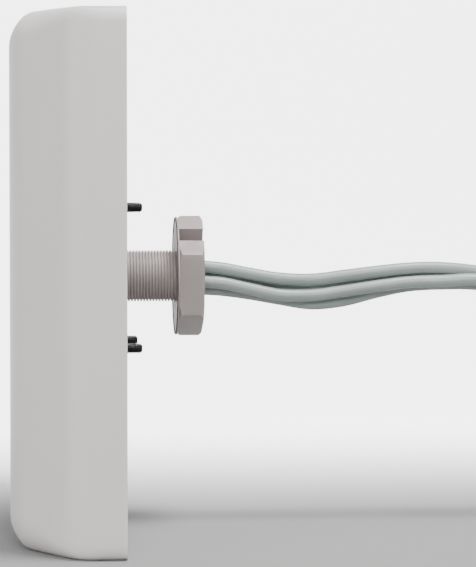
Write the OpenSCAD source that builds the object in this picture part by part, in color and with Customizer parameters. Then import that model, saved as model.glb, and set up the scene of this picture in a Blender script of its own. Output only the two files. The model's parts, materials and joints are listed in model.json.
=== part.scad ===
// Flat square panel antenna with four coaxial leads.
// A bevelled radome is closed by a back plate. A hollow threaded stem in the middle of the back
// carries the leads out, and a slotted hex nut on the stem clamps the panel to a wall or bracket.
// +X points out of the back, +Z is up, and the panel stands on its bottom edge at z = 0.

/* [Panel] */
// Height and width of the square panel
panel_side = 243; // [238:1:252]
// Depth from the front face to the back plane
panel_depth = 52; // [51:0.5:54]
// Wall thickness of the radome
wall = 3; // [2.5:0.1:3.4]
// Depth and width of the 45 degree bevels on the left and right
bevel = 31; // [27:1:32]
// Rounding of the front edge along the top and the bottom
front_round = 16; // [10:1:18]
// Rounding of the four long corners of the box
corner_round = 6; // [4:0.5:8]
// Thickness of the back plate
plate_t = 3.5; // [3:0.5:4]

/* [Stem and nut] */
// Reach of the stem behind the back plane
stem_reach = 40; // [36:1:44]
// Thread diameter of the stem
stem_d = 25; // [24.5:0.5:26]
// Bore of the stem
stem_bore_d = 20.4; // [20:0.2:21]
// Width of the nut across its flats
nut_flats = 52; // [46:1:56]
// Thickness of the nut
nut_t = 12; // [10:1:14]
// Width of the slot that lets the nut slip over a lead
nut_slot = 9; // [7.5:0.5:11]
// Outer diameter of the slip washer
washer_d = 58; // [48:1:60]
// Thickness of the slip washer
washer_t = 0.8; // [0.6:0.1:1.5]

/* [Studs] */
// Spacing of the four studs, across and up
stud_pitch = 67; // [60:1:90]
// Thread diameter of the studs
stud_d = 4.8; // [4:0.2:6]
// Length of each stud behind the back plane
stud_reach = 9.7; // [6:0.1:14]

/* [Radiators] */
// Side of each square radiating patch
patch_side = 56; // [44:1:64]
// Distance from the panel's middle to each patch's middle, across and up
patch_offset = 50; // [46:1:54]

/* [Leads] */
// Outer diameter of each coaxial lead
lead_d = 6.1; // [5.6:0.1:6.1]
// Outer diameter of each plug's coupling nut
coupling_d = 15; // [13.5:0.5:15]

/* [Hidden] */
$fn = 96;

// Planes along X. The box from front face to stem end is centred on x = 0.
front_x = -(panel_depth + stem_reach) / 2;
back_x = front_x + panel_depth;
stem_end_x = back_x + stem_reach;
plate_x = back_x - plate_t;
gasket_t = 1.5;
ledge_x = plate_x - gasket_t;
axis_z = panel_side / 2;
half = panel_side / 2;
// How far a cutting shape reaches past the face it opens
past = 1;

// Inner stack, from the back plate towards the front.
lead_bend = 19;
flange_t = 3.5;
stem_root_x = plate_x - flange_t;
lead_run_x = stem_root_x - lead_bend;
reflector_t = 1.5;
reflector_back_x = lead_run_x - lead_d / 2 - 0.9;
reflector_x = reflector_back_x - reflector_t;
board_t = 1.6;
board_x = reflector_x - board_t;
patch_t = 0.8;
patch_gap = 8.4;
patch_x = board_x - patch_gap - patch_t;
reflector_half = 95;
reflector_lip = 8;
board_half = 80;
spacer_step = 20;
spacer_r = 2.5;

launch_w = 11;
launch_l = 12;
launch_cover = 4;
pin_r = 0.65;

launch_hole_r = 2.2;

// Rim: the plate drops into it and presses the gasket on to its ledge.
plate_gap = 0.25;
ledge_w = 6;
ledge_depth = 5;
ledge_overlap = 0.5;

// Fasteners
boss_r = 4.5;
boss_gap = 0.1;
boss_step = half - 15.5;
boss_hole_depth = 14;
screw_r = 1.5;
screw_hole_r = 1.6;
cover_screw_l = 12;
cover_head_r = 2.9;
cover_head_t = 1.9;
head_recess_r = 3.3;
head_recess_t = 2.2;
head_seat = 0.05;
cover_shank_l = cover_screw_l + plate_t - head_recess_t + 2 * head_seat;
inner_head_r = 2.8;
inner_head_t = 2;
post_step = 84;
post_r = 3.5;
post_screw_l = 8;
blind_hole = 2.5;
blind_screw = 1.9;
flange_r = 27;
flange_screw_step = 15.2;
o_ring_r = 16;
o_ring_section = 0.98;
groove_half_w = 1.2;
groove_depth = 2;

// The part of each stud in the plate is thicker than its thread, and its head is inside.
stud_shank_r = stud_d / 2 + 0.3;
stud_head_r = 5;
stud_head_t = 2;

// Nut: the slot is centred in one of the flats.
nut_clearance = 0.05;
washer_clearance = 0.3;
grommet_t = 12;
grommet_x = stem_end_x - grommet_t - 2;
nut_x = stem_end_x - nut_t;
nut_corner_angle = 158.5;
nut_slot_angle = nut_corner_angle - 30;
nut_chamfer = 2.2;
nut_chamfer_t = 1.3;

// Places of the four leads in the stem: across, and up from the stem's axis.
lead_places = [[-4.4, 4.7], [-5.6, -2.7], [0.2, -6.4], [2, 2.7]];
// Direction in which each lead turns off inside the panel, in degrees up from +Y.
lead_turns = [135, 225, 315, 45];
lead_r = lead_d / 2;
inner_run = 36;
bend_step = 15;

// Coil: the leads lie two wide and two high, and go round two and three quarter turns.
coil_along = 221;
coil_y = 32;
coil_base = 1.25;
coil_pitch = 6.5;
coil_inner_r = 30.5;
coil_outer_r = coil_inner_r + coil_pitch;
coil_layers = 6;
coil_low = coil_base + 3.05;
tie_t = 1.15;
tie_w = 12;
// The straps are flat and the coil is round, so the inner side stands off further.
tie_gap_inner = 0.8;
tie_gap_outer = 0.1;
tie_gap_top = 0.05;
tie_angles = [20, 140];

// Free run of each lead from the stem mouth: distance behind the mouth, across, and height.
// The heights suit a panel 243 high, and "lifted" fits the upper part to other heights.
lead_routes = [
    [
        [0, -4.4, 126.2], [10, -4.4, 125.2], [24, -4.4, 122.5], [38, -4.4, 120.2], [54, -4.4, 119.6],
        [70, -4.4, 121.5], [86, -4.4, 123.4], [102, -4.4, 125], [118, -4, 125.2], [136, -3.5, 123.5],
        [156, -4.5, 120], [171.5, -5, 110], [182, -5, 97], [188, -5, 81.5], [193.5, -5, 67.5],
        [205, -5, 54], [221, -5, 45.7]
    ],
    [
        [0, -5.6, 118.8], [10, -5.6, 118], [24, -5.6, 115], [38, -5.6, 112.2], [54, -5.6, 112],
        [70, -5.6, 114], [86, -5.6, 116.4], [102, -5.6, 118.3], [118, -6.8, 118.8], [136, -8.5, 119.4],
        [153.5, -6.5, 114.5], [167.5, -5, 105.5], [176.5, -5, 94], [182, -5, 80], [188, -5, 64.5],
        [201, -5, 49], [221, -5, 39.2]
    ],
    [
        [0, 0.2, 115.1], [10, 0.5, 114.4], [24, 0.8, 112.5], [38, 0.8, 110], [54, 0.8, 107.6],
        [70, 0.8, 109], [86, 0.8, 113], [102, 0.8, 116.2], [118, 0.2, 117.2], [136, -1.4, 117],
        [153.5, 0.5, 113.5], [167.5, 1.5, 105], [176.5, 1.5, 94], [182, 1.5, 80], [188, 1.5, 64.5],
        [201, 1.5, 49], [221, 1.5, 39.2]
    ],
    [
        [0, 2, 124.2], [10, 2, 123.2], [24, 2, 120.3], [38, 2.2, 117.8], [54, 2.4, 117.4],
        [70, 2.4, 118.6], [86, 2.4, 121.2], [102, 2.4, 123.4], [118, 2.8, 124.3], [136, 3, 123],
        [156, 2, 120], [171.5, 1.5, 110], [182, 1.5, 97], [188, 1.5, 81.5], [193.5, 1.5, 67.5],
        [205, 1.5, 54], [221, 1.5, 45.7]
    ]
];
// Run of each lead from the coil to its plug.
tail_routes = [
    [[184, 32, 10.8], [184, 20, 10.8], [182.5, 6, 9.6], [180, -10, 8], [179, -25, 7.6], [179, -40, 7.6]],
    [[184, 32, 4.3], [183, 20, 4.3], [177, 6, 4.3], [167, -10, 5.3], [162, -26, 7.6], [162, -40, 7.6]],
    [
        [190.5, 32, 4.3], [190.5, 12, 4.3], [191, -8, 4.3], [198, -26, 4.5], [208, -42, 5.6],
        [213, -60, 7.6], [213, -76, 7.6]
    ],
    [
        [190.5, 32, 10.8], [190.5, 12, 10.8], [190.5, -8, 10.8], [191.5, -26, 9.6], [194, -42, 8],
        [196, -58, 7.6], [196, -76, 7.6]
    ]
];
lead_in_sleeve = 8;

// Plug, measured from the face where its lead goes in.
sleeve_l = 16;
sleeve_r = 3.95;
sleeve_bore_r = 3.1;
collar_l = 3;
collar_r = 5.6;
shoulder = sleeve_l + collar_l;
body_r = 4.6;
body_end = 33;
core_bore_r = 1.6;
coupling_start = 19.4;
coupling_l = 14.4;
coupling_lip = 2;
body_step = coupling_start + coupling_lip + 0.6;
jack_r = 5.6;
shell_r = 4.15;
insulator_r = 3.3;
insulator_end = 27;
insulator_gap = 0.02;
contact_r = 0.7;
contact_start = 14;
contact_end = 32;
contact_tip_l = 0.6;
contact_tip_r = 0.3;
bore_gap = 0.05;
turning_gap = 0.05;

// Colours
shell_grey = [0.79, 0.775, 0.77];
fitting_grey = [0.66, 0.63, 0.62];
lead_grey = [0.62, 0.66, 0.64];
black = [0.06, 0.06, 0.06];
steel = [0.72, 0.72, 0.74];
aluminium = [0.8, 0.81, 0.83];
copper = [0.8, 0.5, 0.33];
nickel = [0.76, 0.75, 0.72];
white = [0.93, 0.93, 0.9];

// ---------- helpers ----------

// Extrudes an outline drawn across (Y) and up (Z) along X.
module extrude_x(x, length) {
    translate([x, 0, 0]) rotate([90, 0, 90]) linear_extrude(length) children();
}

// Round bar along X, at a place measured from the stem's axis.
module bar_x(x, length, r, y = 0, up = 0) {
    extrude_x(x, length) translate([y, axis_z + up]) circle(r);
}

// Puts its children at the four corners of a square, in the Y-Z outline.
module at_corners(step) {
    for (y = [-step, step], up = [-step, step]) translate([y, axis_z + up]) children();
}

// Places of the eight cover screws: the corners and the middles of the sides.
cover_places = [
    for (y = [-1, 0, 1], up = [-1, 0, 1]) if (y != 0 || up != 0) [y * boss_step, up * boss_step]
];

// Box of the radome moved in by "inset", from its front to x = to.
module box_section(inset, to) {
    x0 = front_x + inset;
    w = half - inset;
    slope = bevel - inset * (2 - sqrt(2));
    polygon([[x0, slope - w], [x0 + slope, -w], [to, -w], [to, w], [x0 + slope, w], [x0, w - slope]]);
}

module side_profile(inset, to) {
    x0 = front_x + inset;
    r = front_round - inset;
    translate([x0 + r, inset]) square([to - x0 - r, panel_side - 2 * inset]);
    translate([x0, inset + r]) square([r + 1, panel_side - 2 * inset - 2 * r]);
    for (z = [inset + r, panel_side - inset - r]) translate([x0 + r, z]) circle(r);
}

module rounded_square(inset) {
    w = half - inset;
    r = max(corner_round - inset, 0.8);
    translate([-w + r, inset]) square([2 * (w - r), 2 * w]);
    translate([-w, inset + r]) square([2 * w, 2 * (w - r)]);
    for (y = [r - w, w - r], z = [inset + r, panel_side - inset - r]) translate([y, z]) circle(r);
}

module radome_form(inset, to) {
    intersection() {
        linear_extrude(panel_side + 1) box_section(inset, to);
        translate([0, half + 1, 0]) rotate([90, 0, 0]) linear_extrude(2 * half + 2) side_profile(inset, to);
        extrude_x(front_x - 1, to - front_x + 2) rounded_square(inset);
    }
}

// ---------- housing ----------

module radome() color(shell_grey) difference() {
    union() {
        difference() {
            radome_form(0, back_x);
            radome_form(wall, back_x + past);
        }
        intersection() {
            radome_form(past, plate_x - boss_gap);
            for (p = cover_places) bar_x(front_x, plate_x - boss_gap - front_x, boss_r, p[0], p[1]);
        }
        ledge();
    }
    for (p = cover_places)
        bar_x(plate_x - boss_hole_depth, boss_hole_depth + past, screw_hole_r, p[0], p[1]);
}

// Shelf round the inside of the rim that carries the gasket.
module ledge() extrude_x(ledge_x - ledge_depth, ledge_depth) difference() {
    rounded_square(wall - ledge_overlap);
    rounded_square(wall + ledge_w);
}

module base_plate() color(shell_grey) difference() {
    extrude_x(plate_x, plate_t) rounded_square(wall + plate_gap);
    bar_x(plate_x - past, plate_t + 2 * past, stem_d / 2 + 0.1);
    for (p = cover_places) {
        bar_x(plate_x - past, plate_t + 2 * past, screw_hole_r + 0.2, p[0], p[1]);
        bar_x(back_x - head_recess_t, head_recess_t + past, head_recess_r, p[0], p[1]);
    }
    extrude_x(plate_x - past, plate_t + 2 * past) at_corners(stud_pitch / 2) circle(stud_shank_r + bore_gap);
    extrude_x(plate_x - past, blind_hole + past) at_corners(flange_screw_step) circle(screw_r + bore_gap);
    extrude_x(plate_x - past, blind_hole + past) at_corners(post_step) circle(screw_r + bore_gap);
}

module perimeter_gasket() color(black) extrude_x(ledge_x, gasket_t) difference() {
    rounded_square(wall + 0.3);
    rounded_square(wall + ledge_w - 0.5);
}

module cover_screws() color(steel) for (p = cover_places) {
    bar_x(plate_x - cover_screw_l, cover_shank_l, screw_r, p[0], p[1]);
    bar_x(back_x - head_recess_t + head_seat, cover_head_t, cover_head_r, p[0], p[1]);
}

module mounting_studs() color(black) {
    extrude_x(back_x, stud_reach) at_corners(stud_pitch / 2) circle(stud_d / 2);
    extrude_x(plate_x, plate_t) at_corners(stud_pitch / 2) circle(stud_shank_r);
    extrude_x(plate_x - stud_head_t, stud_head_t) at_corners(stud_pitch / 2) circle(stud_head_r);
}

// ---------- radiators ----------

module reflector() color(aluminium) difference() {
    union() {
        extrude_x(reflector_x, reflector_t) reflector_outline(0);
        extrude_x(reflector_x - reflector_lip, reflector_lip) difference() {
            reflector_outline(0);
            reflector_outline(reflector_t);
        }
    }
    extrude_x(reflector_x - past, reflector_t + 2 * past)
        for (k = [0 : 3]) translate(launch_yz(k)) circle(launch_hole_r);
    extrude_x(reflector_x - past, reflector_t + 2 * past) at_corners(post_step) circle(screw_r + 0.1);
}

module reflector_outline(inset) {
    s = reflector_half - inset;
    translate([-s, axis_z - s]) square(2 * s);
}

module reflector_posts() color(aluminium) difference() {
    extrude_x(reflector_back_x, plate_x - reflector_back_x) at_corners(post_step) circle(post_r, $fn = 6);
    extrude_x(reflector_back_x - past, plate_x - reflector_back_x + 2 * past)
        at_corners(post_step) circle(screw_r + bore_gap);
}

// One screw from each side into every post.
module reflector_screws() color(steel) {
    extrude_x(reflector_x - inner_head_t, inner_head_t) at_corners(post_step) circle(inner_head_r);
    extrude_x(reflector_x, reflector_t + post_screw_l) at_corners(post_step) circle(screw_r);
    extrude_x(plate_x - post_screw_l, post_screw_l + blind_screw) at_corners(post_step) circle(screw_r);
}

module feed_board() color([0.16, 0.38, 0.24]) extrude_x(board_x, board_t) difference() {
    translate([-board_half, axis_z - board_half]) square(2 * board_half);
    for (k = [0 : 3]) translate(launch_yz(k)) circle(pin_r + 0.1);
}

// Across and up place of each launch, where a lead ends behind its patch.
function launch_yz(k) =
    let (a = lead_turns[k], s = lead_bend + inner_run)
    [lead_places[k][0] + s * cos(a), axis_z + lead_places[k][1] + s * sin(a)];

// Solder block that ends each lead on the back of the reflector.
module coax_launches() color(nickel) for (k = [0 : 3]) difference() {
    height = lead_run_x + lead_r + launch_cover - reflector_back_x;
    extrude_x(reflector_back_x, height) translate(launch_yz(k)) rotate(lead_turns[k])
        square([launch_l, launch_w], center = true);
    inner_lead_run(k, lead_r + bore_gap);
    extrude_x(reflector_back_x - past, height) translate(launch_yz(k)) circle(pin_r + bore_gap);
}

module feed_pins() color(copper) {
    pin_end = lead_run_x - lead_r - 0.15;
    extrude_x(patch_x + patch_t, pin_end - patch_x - patch_t)
        for (k = [0 : 3]) translate(launch_yz(k)) circle(pin_r);
}

// Across and up signs of each patch, in the order of the leads.
patch_signs = [[-1, 1], [-1, -1], [1, -1], [1, 1]];

module patch(k) color(copper) extrude_x(patch_x, patch_t)
    translate([patch_signs[k][0] * patch_offset, axis_z + patch_signs[k][1] * patch_offset])
        square(patch_side, center = true);

module patch_spacers() color(white) extrude_x(patch_x + patch_t, patch_gap) for (s = patch_signs)
    for (y = [-spacer_step, spacer_step], up = [-spacer_step, spacer_step])
        translate([s[0] * patch_offset + y, axis_z + s[1] * patch_offset + up]) circle(spacer_r);

// ---------- stem, nut and washer ----------

module stem() color(fitting_grey) difference() {
    union() {
        bar_x(stem_root_x, stem_end_x - stem_root_x, stem_d / 2);
        bar_x(stem_root_x, flange_t, flange_r);
    }
    bar_x(stem_root_x - past, stem_end_x - stem_root_x + 2 * past, stem_bore_d / 2);
    extrude_x(stem_root_x - past, flange_t + 2 * past) at_corners(flange_screw_step) circle(screw_r + 0.1);
    extrude_x(plate_x - groove_depth, groove_depth + past) translate([0, axis_z]) difference() {
        circle(o_ring_r + groove_half_w);
        circle(o_ring_r - groove_half_w);
    }
}

module stem_o_ring() color(black) translate([plate_x - groove_depth / 2, 0, axis_z]) rotate([0, 90, 0])
    rotate_extrude() translate([o_ring_r, 0]) circle(o_ring_section, $fn = 32);

module stem_screws() color(steel) {
    extrude_x(stem_root_x - inner_head_t, inner_head_t) at_corners(flange_screw_step) circle(inner_head_r);
    extrude_x(stem_root_x, flange_t + blind_screw) at_corners(flange_screw_step) circle(screw_r);
}

module lead_grommet() color(black) extrude_x(grommet_x, grommet_t) difference() {
    translate([0, axis_z]) circle(stem_bore_d / 2 - bore_gap);
    for (p = lead_places) translate([p[0], axis_z + p[1]]) circle(lead_r + bore_gap);
}

module slip_washer() color(fitting_grey) extrude_x(nut_x - washer_t, washer_t) translate([0, axis_z]) difference() {
    circle(washer_d / 2);
    circle(stem_d / 2 + washer_clearance);
}

// Solid of revolution that chamfers the corners of the nut on both faces.
module nut_turning() {
    r = nut_flats / sqrt(3);
    translate([nut_x, 0, axis_z]) rotate([0, 90, 0]) rotate_extrude() polygon([
        [0, 0], [r - nut_chamfer, 0], [r + 0.01, nut_chamfer_t],
        [r + 0.01, nut_t - nut_chamfer_t], [r - nut_chamfer, nut_t], [0, nut_t]
    ]);
}

module jam_nut() color(fitting_grey) difference() {
    intersection() {
        extrude_x(nut_x, nut_t) translate([0, axis_z]) rotate(nut_corner_angle)
            circle(nut_flats / sqrt(3), $fn = 6);
        nut_turning();
    }
    bar_x(nut_x - past, nut_t + 2 * past, stem_d / 2 + nut_clearance);
    extrude_x(nut_x - past, nut_t + 2 * past) translate([0, axis_z]) rotate(nut_slot_angle)
        translate([0, -nut_slot / 2]) square([nut_flats, nut_slot]);
}

// ---------- leads ----------

// Straight run of a lead behind the reflector, with a radius of its own.
module inner_lead_run(k, r) translate([lead_run_x, lead_places[k][0], axis_z + lead_places[k][1]])
    rotate([lead_turns[k], 0, 0]) translate([0, lead_bend, 0]) rotate([-90, 0, 0])
        cylinder(h = inner_run, r = r);

// Centreline of the held part of each lead: through the stem, round a bend and along to its launch.
function inner_path(k) =
    let (
        p = lead_places[k],
        a = lead_turns[k],
        bend = [for (b = [0 : bend_step : 90]) [stem_root_x - lead_bend * sin(b), lead_bend * (1 - cos(b))]],
        end = [lead_run_x, lead_bend + inner_run]
    )
    [
        [stem_end_x, p[0], axis_z + p[1]],
        for (q = [each bend, end]) [q[0], p[0] + q[1] * cos(a), axis_z + p[1] + q[1] * sin(a)]
    ];

module inner_lead(k) color(lead_grey)
    tube(inner_path(k), lead_r, [0, -sin(lead_turns[k]), cos(lead_turns[k])], 12);

// Raises the upper part of a route with the stem's axis. The part at the coil stays.
function lifted(p) =
    let (share = min(max((p[2] - 50) / 50, 0), 1))
    [stem_end_x + p[0], p[1], p[2] + (axis_z - 121.5) * share];

function unit(v) = v / norm(v);

function tangents(path) = [
    for (i = [0 : len(path) - 1]) unit(path[min(i + 1, len(path) - 1)] - path[max(i - 1, 0)])
];

function square_to(v, t) = unit(v - (v * t) * t);

// Closed tube of "sides" sides along a path. Each ring's frame is carried on from the last.
module tube(path, r, side, sides = 10) {
    along = tangents(path);
    n = len(path);
    sideways = [for (i = 0, u = square_to(side, along[0]); i < n;
        i = i + 1, u = i < n ? square_to(u, along[i]) : u) u];
    points = [
        for (i = [0 : n - 1], j = [0 : sides - 1])
            let (a = 360 * j / sides, up = cross(along[i], sideways[i]))
            path[i] + r * (cos(a) * sideways[i] + sin(a) * up)
    ];
    walls = [
        for (i = [0 : n - 2], j = [0 : sides - 1])
            let (a = i * sides + j, b = i * sides + (j + 1) % sides)
            each [[a, b, b + sides], [a, b + sides, a + sides]]
    ];
    start_cap = [for (j = [sides - 1 : -1 : 0]) j];
    end_cap = [for (j = [0 : sides - 1]) (n - 1) * sides + j];
    polyhedron(points, [start_cap, each walls, end_cap]);
}

// A place on the coil's first turn, which comes down on to the turn below it.
function first_turn(k, angle) =
    let (
        outer = k < 2,
        upper = k == 0 || k == 3,
        r = outer ? coil_outer_r : coil_inner_r,
        t = (angle + 135) / 120,
        top = coil_low + (coil_layers + (upper ? 1 : 0)) * coil_pitch,
        drop = 2 * coil_pitch * t * t * (3 - 2 * t)
    )
    [coil_along + r * cos(angle), coil_y + r * sin(angle), top - drop];

module lead(k) color(lead_grey) {
    run = [each lead_routes[k], first_turn(k, -52), first_turn(k, -15)];
    tube([for (p = run) lifted(p)], lead_r, [0, 1, 0]);
}

module lead_tail(k) color(lead_grey) tube([for (p = tail_routes[k]) lifted(p)], lead_r, [0, 0, 1]);

// Outer shape of the coiled length of all four leads.
module lead_coil() color(lead_grey)
    translate([stem_end_x + coil_along, coil_y, coil_base]) rotate_extrude() {
    width = coil_pitch + lead_d;
    translate([coil_inner_r - lead_r, 0]) square([width, (coil_layers - 1) * coil_pitch + lead_d]);
}

module coil_ties() color(black) for (a = tie_angles)
    translate([stem_end_x + coil_along, coil_y, 0]) rotate([0, 0, a]) rotate([90, 0, 0])
        linear_extrude(tie_w, center = true) difference() {
            inner = coil_inner_r - lead_r - tie_gap_inner;
            outer = coil_outer_r + lead_r + tie_gap_outer;
            top = coil_base + (coil_layers - 1) * coil_pitch + lead_d + tie_gap_top;
            translate([inner - tie_t, 0]) square([outer - inner + 2 * tie_t, top + tie_t]);
            translate([inner, tie_t]) square([outer - inner, top - tie_t]);
        }

// ---------- plugs ----------

// Places its children with +Z along the plug, from the face where the lead goes in.
module at_plug(k) {
    end = lifted(tail_routes[k][len(tail_routes[k]) - 1]);
    translate(end + [0, lead_in_sleeve, 0]) rotate([90, 0, 0]) children();
}

module ring(from, to, outer, inner) translate([0, 0, from]) difference() {
    cylinder(h = to - from, r = outer);
    if (inner > 0) translate([0, 0, -past]) cylinder(h = to - from + 2 * past, r = inner);
}

module crimp_sleeve(k) color(nickel) at_plug(k) ring(0, sleeve_l, sleeve_r, sleeve_bore_r);

module plug_body(k) color(nickel) at_plug(k) difference() {
    union() {
        ring(lead_in_sleeve + 1, sleeve_l, sleeve_bore_r - bore_gap, 0);
        ring(sleeve_l, shoulder, collar_r, 0);
        ring(shoulder, body_step, body_r, 0);
        ring(body_step, body_end, shell_r, 0);
    }
    translate([0, 0, lead_in_sleeve]) cylinder(h = body_end, r = core_bore_r);
    translate([0, 0, shoulder]) cylinder(h = body_end, r = insulator_r + insulator_gap);
}

// Turns freely on the body. Its bore is open to the front, for the mating thread.
module coupling_nut(k) color(nickel) at_plug(k) {
    ring(coupling_start, coupling_start + coupling_lip, coupling_d / 2, body_r + turning_gap);
    ring(coupling_start + coupling_lip, coupling_start + coupling_l, coupling_d / 2, jack_r);
}

module plug_insulator(k) color(white) at_plug(k)
    ring(shoulder + insulator_gap, insulator_end, insulator_r, contact_r + insulator_gap);

module contact_pin(k) color(copper) at_plug(k) {
    ring(contact_start, contact_end, contact_r, 0);
    translate([0, 0, contact_end]) cylinder(h = contact_tip_l, r1 = contact_r, r2 = contact_tip_r);
}

// ---------- parts ----------

radome();
base_plate();
perimeter_gasket();
cover_screws();
mounting_studs();
reflector();
reflector_posts();
reflector_screws();
feed_board();
feed_pins();
patch(0);  // patch_1
patch(1);  // patch_2
patch(2);  // patch_3
patch(3);  // patch_4
patch_spacers();
coax_launches();
stem();
stem_o_ring();
stem_screws();
lead_grommet();
slip_washer();
jam_nut();
inner_lead(0);  // inner_lead_1
inner_lead(1);  // inner_lead_2
inner_lead(2);  // inner_lead_3
inner_lead(3);  // inner_lead_4
lead(0);  // lead_1
lead(1);  // lead_2
lead(2);  // lead_3
lead(3);  // lead_4
lead_tail(0);  // lead_tail_1
lead_tail(1);  // lead_tail_2
lead_tail(2);  // lead_tail_3
lead_tail(3);  // lead_tail_4
lead_coil();
coil_ties();
crimp_sleeve(0);  // crimp_sleeve_1
crimp_sleeve(1);  // crimp_sleeve_2
crimp_sleeve(2);  // crimp_sleeve_3
crimp_sleeve(3);  // crimp_sleeve_4
plug_body(0);  // plug_body_1
plug_body(1);  // plug_body_2
plug_body(2);  // plug_body_3
plug_body(3);  // plug_body_4
coupling_nut(0);  // coupling_nut_1
coupling_nut(1);  // coupling_nut_2
coupling_nut(2);  // coupling_nut_3
coupling_nut(3);  // coupling_nut_4
plug_insulator(0);  // plug_insulator_1
plug_insulator(1);  // plug_insulator_2
plug_insulator(2);  // plug_insulator_3
plug_insulator(3);  // plug_insulator_4
contact_pin(0);  // contact_pin_1
contact_pin(1);  // contact_pin_2
contact_pin(2);  // contact_pin_3
contact_pin(3);  // contact_pin_4
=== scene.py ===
"""Flat panel antenna with a threaded stem, a slotted nut and four coaxial leads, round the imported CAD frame.
Lengths are in metres. +X points out of the antenna's back, +Z is up, and the antenna stands on z = 0."""
import json
import math

import bmesh
import bpy
import numpy as np
from mathutils import Matrix, Vector


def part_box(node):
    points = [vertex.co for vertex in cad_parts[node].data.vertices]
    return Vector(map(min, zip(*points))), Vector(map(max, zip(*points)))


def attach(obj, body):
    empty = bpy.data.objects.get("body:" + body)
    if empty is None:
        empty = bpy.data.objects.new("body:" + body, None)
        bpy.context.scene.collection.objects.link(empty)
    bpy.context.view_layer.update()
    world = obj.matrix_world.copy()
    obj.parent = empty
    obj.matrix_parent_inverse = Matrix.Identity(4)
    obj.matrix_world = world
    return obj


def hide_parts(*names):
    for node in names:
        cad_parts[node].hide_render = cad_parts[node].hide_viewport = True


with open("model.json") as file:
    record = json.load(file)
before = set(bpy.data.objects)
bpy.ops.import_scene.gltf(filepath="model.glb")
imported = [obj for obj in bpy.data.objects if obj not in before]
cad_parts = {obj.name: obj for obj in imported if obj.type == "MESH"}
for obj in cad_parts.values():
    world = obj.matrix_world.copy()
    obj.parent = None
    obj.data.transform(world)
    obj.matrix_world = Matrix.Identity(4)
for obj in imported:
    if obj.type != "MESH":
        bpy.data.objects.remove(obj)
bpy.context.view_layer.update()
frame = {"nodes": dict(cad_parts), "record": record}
MM = 0.001
# Edges over this angle, in degrees, stay crisp on most pieces.
SHARP_EDGE = 50

# ---------- places, all read from the frame ----------

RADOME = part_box("radome")
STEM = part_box("stem")
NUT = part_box("jam_nut")
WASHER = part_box("slip_washer")
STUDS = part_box("mounting_studs")
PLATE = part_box("base_plate")
BACK_X = RADOME[1].x
FRONT_X = RADOME[0].x
HALF = RADOME[1].y
AXIS_Z = (RADOME[0].z + RADOME[1].z) / 2
MOUTH_X = STEM[1].x


# ---------- camera ----------

CAMERA_PLACE = Vector((-0.0232, -1.1, AXIS_Z + 0.0336))
CAMERA_AIM = Vector((0.064, 0, AXIS_Z - 0.0039))
CAMERA_LENS = 142.5


def new_object(name, data):
    obj = bpy.data.objects.new(name, data)
    bpy.context.scene.collection.objects.link(obj)
    return obj


def point_at(obj, place, aim):
    """Puts a camera or light at a place, looking at another."""
    obj.location = place
    obj.rotation_euler = (Vector(aim) - Vector(place)).to_track_quat("-Z", "Y").to_euler()


def make_camera():
    data = bpy.data.cameras.new("camera")
    data.sensor_width = 36
    data.lens = CAMERA_LENS
    data.clip_start, data.clip_end = 0.05, 50
    cam = new_object("camera", data)
    point_at(cam, CAMERA_PLACE, CAMERA_AIM)
    bpy.context.scene.camera = cam


make_camera()


# ---------- small mesh tools ----------

def add_mesh(name, verts, faces, rounded=True):
    mesh = bpy.data.meshes.new(name)
    mesh.from_pydata([tuple(v) for v in verts], [], faces)
    mesh.validate()
    mesh.update()
    obj = new_object(name, mesh)
    if rounded:
        for p in mesh.polygons:
            p.use_smooth = True
    return obj


def tidy_mesh(obj, merge=1e-6):
    """Merges double points, drops empty faces and turns all faces outwards."""
    bm = bmesh.new()
    bm.from_mesh(obj.data)
    bmesh.ops.remove_doubles(bm, verts=bm.verts, dist=merge)
    bmesh.ops.dissolve_degenerate(bm, edges=bm.edges, dist=merge)
    bmesh.ops.recalc_face_normals(bm, faces=bm.faces)
    bm.to_mesh(obj.data)
    bm.free()
    return obj


def sharpen(obj, angle=35):
    """Smooth shading that keeps edges over that angle crisp."""
    bm = bmesh.new()
    bm.from_mesh(obj.data)
    for e in bm.edges:
        if len(e.link_faces) == 2:
            e.smooth = e.calc_face_angle(0) < math.radians(angle)
    for f in bm.faces:
        f.smooth = True
    bm.to_mesh(obj.data)
    bm.free()
    return obj


def join(name, objs):
    """One object made of several, with their meshes put together."""
    bm = bmesh.new()
    for o in objs:
        o.data.transform(o.matrix_world)
        bm.from_mesh(o.data)
        bpy.data.objects.remove(o)
    mesh = bpy.data.meshes.new(name)
    bm.to_mesh(mesh)
    bm.free()
    return new_object(name, mesh)


def apply_modifier(obj, modifier):
    bpy.context.view_layer.objects.active = obj
    bpy.ops.object.modifier_apply(modifier=modifier.name)


def grid_faces(rows, cols, wrap=True):
    """Faces between rows of points. wrap joins each row's end to its start."""
    faces = []
    for i in range(rows - 1):
        for j in range(cols if wrap else cols - 1):
            a, b = i * cols + j, i * cols + (j + 1) % cols
            faces.append((a, b, b + cols, a + cols))
    return faces


def turned(name, profile, sides=96, shape=None):
    """Closed ring or solid turned about local Z from (radius, height) points.
    shape(angle, r, z) may change a radius. A profile that starts and ends at radius 0 makes a solid, and any other
    is joined end to end."""
    solid = profile[0][0] == 0 and profile[-1][0] == 0
    verts = []
    for r, z in profile:
        for j in range(sides):
            a = 2 * math.pi * j / sides
            q = shape(a, r, z) if shape else r
            verts.append((q * math.cos(a), q * math.sin(a), z))
    rows = len(profile)
    faces = grid_faces(rows, sides)
    if not solid:
        last = (rows - 1) * sides
        for j in range(sides):
            k = (j + 1) % sides
            faces.append((last + j, last + k, k, j))
    return tidy_mesh(add_mesh(name, verts, faces))


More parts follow.
